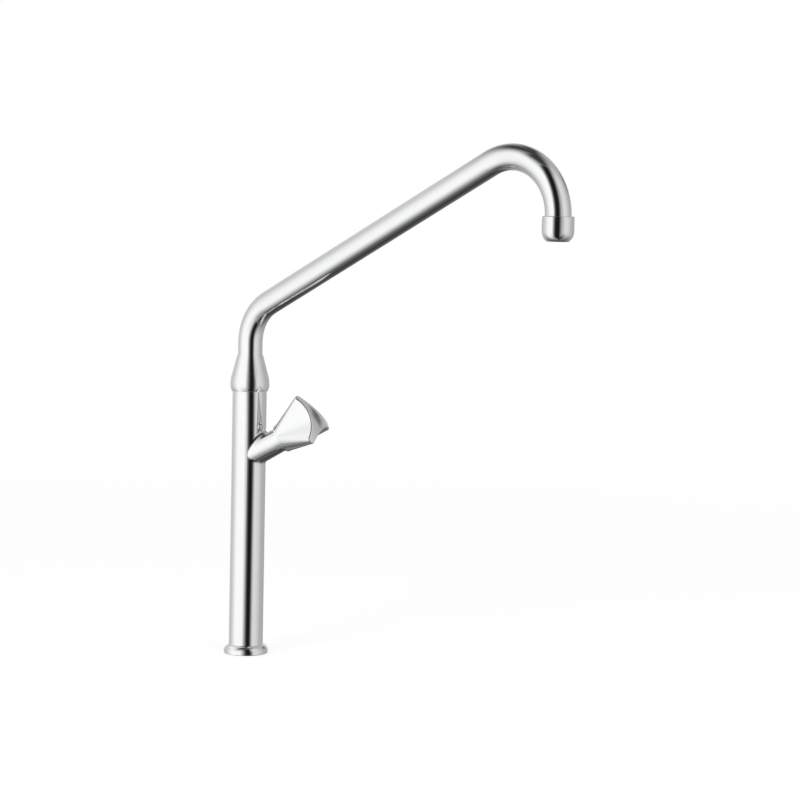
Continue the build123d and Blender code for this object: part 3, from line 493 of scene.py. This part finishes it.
def turned_metal(name):
    """Turned metal with tool marks and a patchy tarnish."""
    metal = METALS[name]
    material, tree, shader, place = new_material(name)
    shader.inputs["Metallic"].default_value = 1.0
    tarnish = ramp_up(tree, noise(tree, place, TARNISH_SCALE, detail=5.0, roughness=0.6), *TARNISH_RANGE)
    marks = drawn_out_noise(tree, place, metal.lines)
    feed(tree, shader.inputs["Base Color"], mix_colours(tree, tarnish, (metal.bright, metal.dull)))
    rough = grown(tree, metal.roughness, tarnish, TARNISH_ROUGHNESS)
    rough = grown(tree, rough, marks, TOOL_MARK_ROUGHNESS)
    feed(tree, shader.inputs["Roughness"], rough)
    bump(tree, shader, marks, TOOL_MARK_DEPTH)
    return material


def rubber(name):
    """Black moulded rubber with a fine skin and grey bloom."""
    material, tree, shader, place = new_material(name)
    bloom = ramp_up(tree, noise(tree, place, BLOOM_SCALE, detail=6.0, roughness=0.65), *BLOOM_RANGE)
    feed(tree, shader.inputs["Base Color"], mix_colours(tree, bloom, RUBBER_TONES))
    feed(tree, shader.inputs["Roughness"], grown(tree, RUBBER_ROUGHNESS, bloom, BLOOM_ROUGHNESS))
    bump(tree, shader, noise(tree, place, RUBBER_GRAIN_SCALE, detail=2.0), RUBBER_GRAIN_DEPTH)
    return material


def nylon(name):
    """Off-white moulded nylon, slightly yellowed in patches."""
    material, tree, shader, place = new_material(name)
    yellow = ramp_up(tree, noise(tree, place, YELLOW_SCALE, detail=4.0, roughness=0.6), *YELLOW_RANGE)
    feed(tree, shader.inputs["Base Color"], mix_colours(tree, yellow, NYLON_TONES))
    shader.inputs["Subsurface Weight"].default_value = NYLON_SCATTER
    shader.inputs["Subsurface Radius"].default_value = NYLON_SCATTER_REACH
    feed(tree, shader.inputs["Roughness"], grown(tree, NYLON_ROUGHNESS, yellow, YELLOW_ROUGHNESS))
    bump(tree, shader, noise(tree, place, NYLON_GRAIN_SCALE, detail=3.0), NYLON_GRAIN_DEPTH)
    return material


def fibre(name):
    """Red vulcanised fibre, with its paper grain in the washer's plane."""
    material, tree, shader, place = new_material(name)
    strands = drawn_out_noise(tree, place, FIBRE_STRANDS, detail=4.0, roughness=0.7)
    feed(tree, shader.inputs["Base Color"], mix_colours(tree, strands, FIBRE_TONES))
    feed(tree, shader.inputs["Roughness"], grown(tree, FIBRE_ROUGHNESS, strands, STRAND_ROUGHNESS))
    bump(tree, shader, strands, STRAND_DEPTH)
    return material


def dress(material, *names):
    for name in names:
        nodes[name].data.materials.clear()
        nodes[name].data.materials.append(material)


def dress_nodes():
    dress(chrome("chrome_column", UPRIGHT_LINES, spotted=True), "base_flange", "column_body")
    dress(chrome("chrome_nut", UPRIGHT_LINES), "spout_nut")
    dress(chrome("chrome_tube", EVEN_LINES), "spout_tube")
    dress(chrome("chrome_knob", EVEN_LINES), "knob")
    dress(chrome("chrome_aerator", UPRIGHT_LINES), "aerator_housing", "outlet_ferrule")
    dress(turned_metal("brass_turned"), "threaded_shank", "lock_nut", "spout_spigot")
    dress(turned_metal("brass_headwork"), "bonnet", "spindle", "valve_plug")
    steel = turned_metal("steel_turned")
    dress(steel, "deck_metal_washer", "valve_seat", "washer_screw", "spindle_clip", "knob_set_screw")
    dress(steel, "inlet_strainer")
    black = rubber("rubber_black")
    dress(black, "base_seal", "deck_rubber_washer", "valve_washer", "aerator_seal")
    dress(black, "spindle_o_ring_lower", "spindle_o_ring_upper", "spigot_o_ring_lower", "spigot_o_ring_upper")
    dress(fibre("fibre_red"), "bonnet_washer")
    dress(nylon("nylon_white"), "nipple_slip_washer", "nut_slip_ring", "aerator_insert", "flow_grid")


# Pieces whose fine form is drawn here

def finish_mesh(shape, name, source):
    """Turns a bmesh into a smooth object with the material of the node that it stands for."""
    mesh = bpy.data.meshes.new(name)
    bmesh.ops.recalc_face_normals(shape, faces=shape.faces)
    shape.to_mesh(mesh)
    shape.free()
    mesh.shade_smooth()
    mesh.set_sharp_from_angle(angle=SMOOTH_BELOW)
    mesh.materials.append(nodes[source].data.materials[0])
    return new_object(name, mesh)


def bridge(shape, first, second):
    """Faces between two rings of as many points."""
    for index, point in enumerate(first):
        following = (index + 1) % len(first)
        shape.faces.new((point, first[following], second[following], second[index]))


def ring_of_points(shape, radius, height):
    turns = [2 * math.pi * index / THREAD_SIDES for index in range(THREAD_SIDES)]
    return [shape.verts.new((radius * math.cos(turn), radius * math.sin(turn), height)) for turn in turns]


def thread_points(shape, radius, bottom, top, row):
    """One turn of points along the helix, held between the thread's two ends."""
    root = radius - THREAD_DEPTH
    points = []
    for index in range(THREAD_SIDES):
        share = index / THREAD_SIDES
        height = bottom + THREAD_PITCH * (row / THREAD_ROWS - 1 + share)
        height = min(max(height, bottom), top)
        phase = (height - bottom) / THREAD_PITCH - share
        form = radius - THREAD_DEPTH * (1 - math.cos(2 * math.pi * phase)) / 2
        reach = min(form, root + height - bottom, root + top - height)
        turn = 2 * math.pi * share
        points.append(shape.verts.new((reach * math.cos(turn), reach * math.sin(turn), height)))
    return points


def thread(shape, radius, bottom, top):
    """A right-handed thread that runs out to its root at both ends. Its rows follow the helix."""
    count = math.ceil(((top - bottom) / THREAD_PITCH + 1) * THREAD_ROWS)
    rows = [thread_points(shape, radius, bottom, top, row) for row in range(count + 1)]
    for row in range(count):
        low, high = rows[row], rows[row + 1]
        for index in range(THREAD_SIDES - 1):
            shape.faces.new((low[index], low[index + 1], high[index + 1], high[index]))
        low_end = rows[min(row + THREAD_ROWS, count)][0]
        high_end = rows[min(row + 1 + THREAD_ROWS, count)][0]
        ends = [low[-1], low_end, high_end, high[-1]]
        shape.faces.new(dict.fromkeys(ends))


def threaded_tail():
    """The tail with its helical threads, in place of the plain solid."""
    low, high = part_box("threaded_shank")
    radius = high.x
    root = radius - THREAD_DEPTH
    relief = radius - RELIEF_DEPTH
    shape = bmesh.new()
    bore_bottom = ring_of_points(shape, TAIL_BORE_RADIUS, low.z)
    bore_top = ring_of_points(shape, TAIL_BORE_RADIUS, high.z)
    bridge(shape, bore_bottom, bore_top)
    thread(shape, radius, low.z, RELIEF_BOTTOM)
    thread(shape, radius, RELIEF_TOP, high.z)
    bridge(shape, bore_bottom, ring_of_points(shape, root, low.z))
    bridge(shape, bore_top, ring_of_points(shape, root, high.z))
    groove_bottom = ring_of_points(shape, relief, RELIEF_BOTTOM)
    groove_top = ring_of_points(shape, relief, RELIEF_TOP)
    bridge(shape, groove_bottom, groove_top)
    bridge(shape, groove_bottom, ring_of_points(shape, root, RELIEF_BOTTOM))
    bridge(shape, groove_top, ring_of_points(shape, root, RELIEF_TOP))
    bmesh.ops.remove_doubles(shape, verts=shape.verts, dist=MERGE_WITHIN)
    bmesh.ops.dissolve_degenerate(shape, edges=shape.edges, dist=COLLAPSE_BELOW)
    tail = finish_mesh(shape, "tail_with_threads", "threaded_shank")
    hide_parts("threaded_shank")
    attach(tail, "column")


def add_outline(curve, centre, radius, sides):
    """A closed flat outline with its corners at equal turns."""
    spline = curve.splines.new("POLY")
    spline.points.add(sides - 1)
    for index, point in enumerate(spline.points):
        turn = 2 * math.pi * index / sides
        point.co = (centre.x + radius * math.cos(turn), centre.y + radius * math.sin(turn), 0, 1)
    spline.use_cyclic_u = True


def screen_outline(radius, thickness):
    """The screen's curve: its round edge, and hexagonal holes on a triangular grid."""
    curve = bpy.data.curves.new("outlet_screen_outline", "CURVE")
    curve.dimensions = "2D"
    curve.fill_mode = "BOTH"
    curve.extrude = thickness / 2 - SCREEN_EDGE
    curve.bevel_depth = SCREEN_EDGE
    add_outline(curve, Vector((0, 0)), radius, SCREEN_SIDES)
    corner = SCREEN_CELL / math.sqrt(3)
    row_step = SCREEN_PITCH * math.sqrt(3) / 2
    reach = math.ceil(radius / SCREEN_PITCH)
    for row in range(-reach, reach + 1):
        for column in range(-2 * reach, 2 * reach + 1):
            centre = Vector((row * row_step, SCREEN_PITCH * (column + row / 2)))
            if centre.length + corner < radius - SCREEN_RIM:
                add_outline(curve, centre, corner, 6)
    return curve


def outlet_screen():
    """Honeycomb screen, in place of the plain perforated disc."""
    low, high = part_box("flow_grid")
    curve = screen_outline((high.x - low.x) / 2 - SCREEN_EDGE, high.z - low.z)
    outline = bpy.data.objects.new("outlet_screen_outline", curve)
    mesh = bpy.data.meshes.new_from_object(outline)
    bpy.data.objects.remove(outline)
    mesh.name = "outlet_screen"
    mesh.transform(Matrix.Translation((low + high) / 2))
    mesh.materials.clear()
    mesh.materials.append(nodes["flow_grid"].data.materials[0])
    screen = new_object("outlet_screen", mesh)
    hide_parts("flow_grid")
    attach(screen, "spout")


make_world()
make_cards()
make_floor()
make_lamps()
make_camera()
dress_nodes()
threaded_tail()
outlet_screen()
bpy.context.scene.view_settings.view_transform = "Standard"
